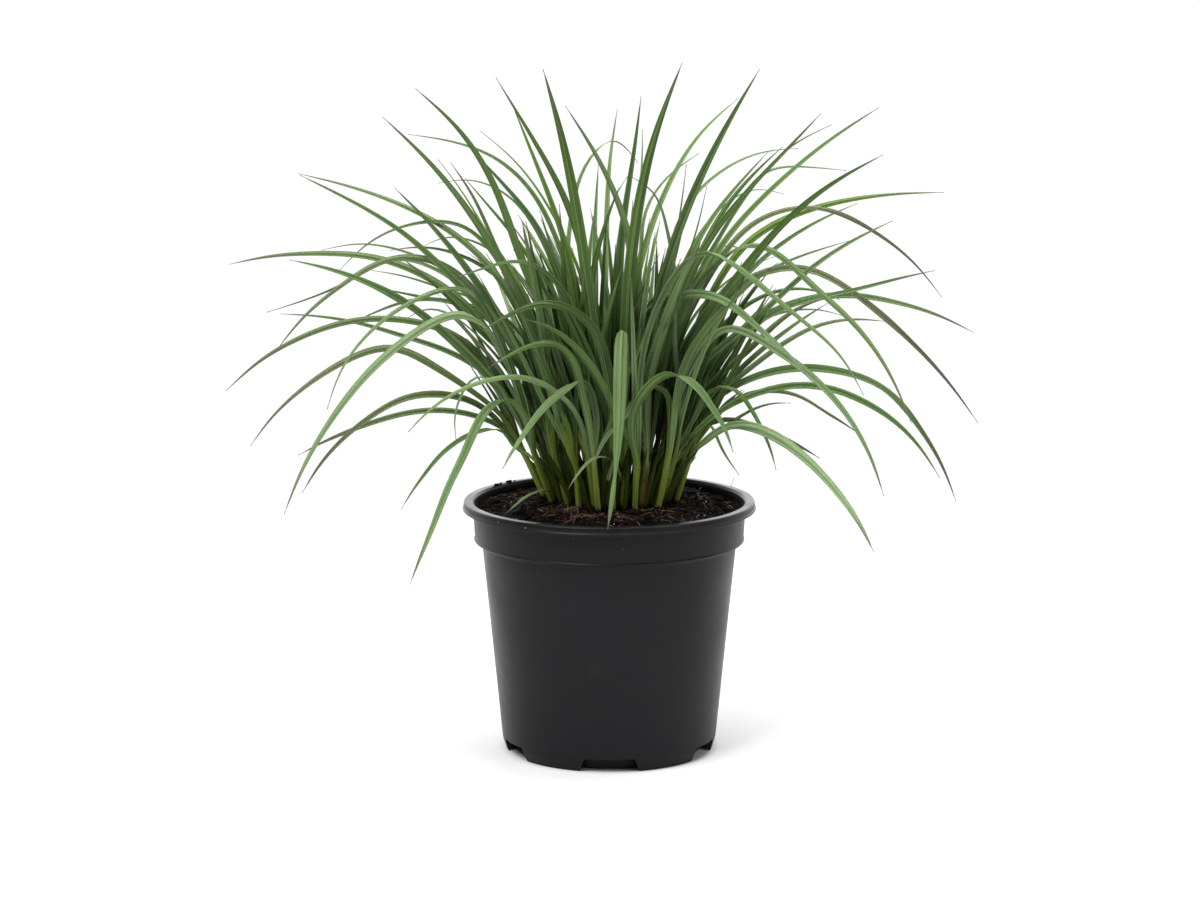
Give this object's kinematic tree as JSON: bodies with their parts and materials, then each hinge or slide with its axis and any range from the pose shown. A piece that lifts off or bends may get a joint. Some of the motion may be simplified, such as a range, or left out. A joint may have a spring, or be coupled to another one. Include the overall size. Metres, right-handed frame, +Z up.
{
  "type": "potted ornamental grass clump",
  "caption": "Clump of arching sedge grass with long tapering leaves, growing in soil in a round black nursery pot with a rolled rim.",
  "frame": {"origin": "middle of the pot's foot, on the surface that it stands on", "axes": "+Z up; -Y towards the side that the picture shows; +X to the right in that view, along the clump's widest spread"},
  "size_m": [0.4888, 0.374, 0.4492],
  "materials": {
    "pot": "satin black moulded plastic with a soft sheen",
    "soil": "moist dark peat with brown fibres",
    "leaf": "satin green leaf with parallel veins, yellow-green at the sheath and grey-purple at the tip"
  },
  "bodies": {
    "root": {"pot": "pot", "soil": "soil", "shoot_01": "leaf", "shoot_02": "leaf", "shoot_03": "leaf", "shoot_04": "leaf", "shoot_05": "leaf", "shoot_06": "leaf", "shoot_07": "leaf", "shoot_08": "leaf", "shoot_09": "leaf", "shoot_10": "leaf", "shoot_11": "leaf", "shoot_12": "leaf", "shoot_13": "leaf", "shoot_14": "leaf", "shoot_15": "leaf", "shoot_16": "leaf", "shoot_17": "leaf", "shoot_18": "leaf", "shoot_19": "leaf", "shoot_20": "leaf", "shoot_21": "leaf", "shoot_22": "leaf", "shoot_23": "leaf", "shoot_24": "leaf", "shoot_25": "leaf", "shoot_26": "leaf", "shoot_27": "leaf", "shoot_28": "leaf", "shoot_29": "leaf", "shoot_30": "leaf", "shoot_31": "leaf", "shoot_32": "leaf", "shoot_33": "leaf", "shoot_34": "leaf", "shoot_35": "leaf", "shoot_36": "leaf", "shoot_37": "leaf", "shoot_38": "leaf", "shoot_39": "leaf", "shoot_40": "leaf", "shoot_41": "leaf", "shoot_42": "leaf", "shoot_43": "leaf", "shoot_44": "leaf", "shoot_45": "leaf", "shoot_46": "leaf", "shoot_47": "leaf", "shoot_48": "leaf", "shoot_49": "leaf", "shoot_50": "leaf", "shoot_51": "leaf", "shoot_52": "leaf", "shoot_53": "leaf", "shoot_54": "leaf"}
  },
  "joints": []
}
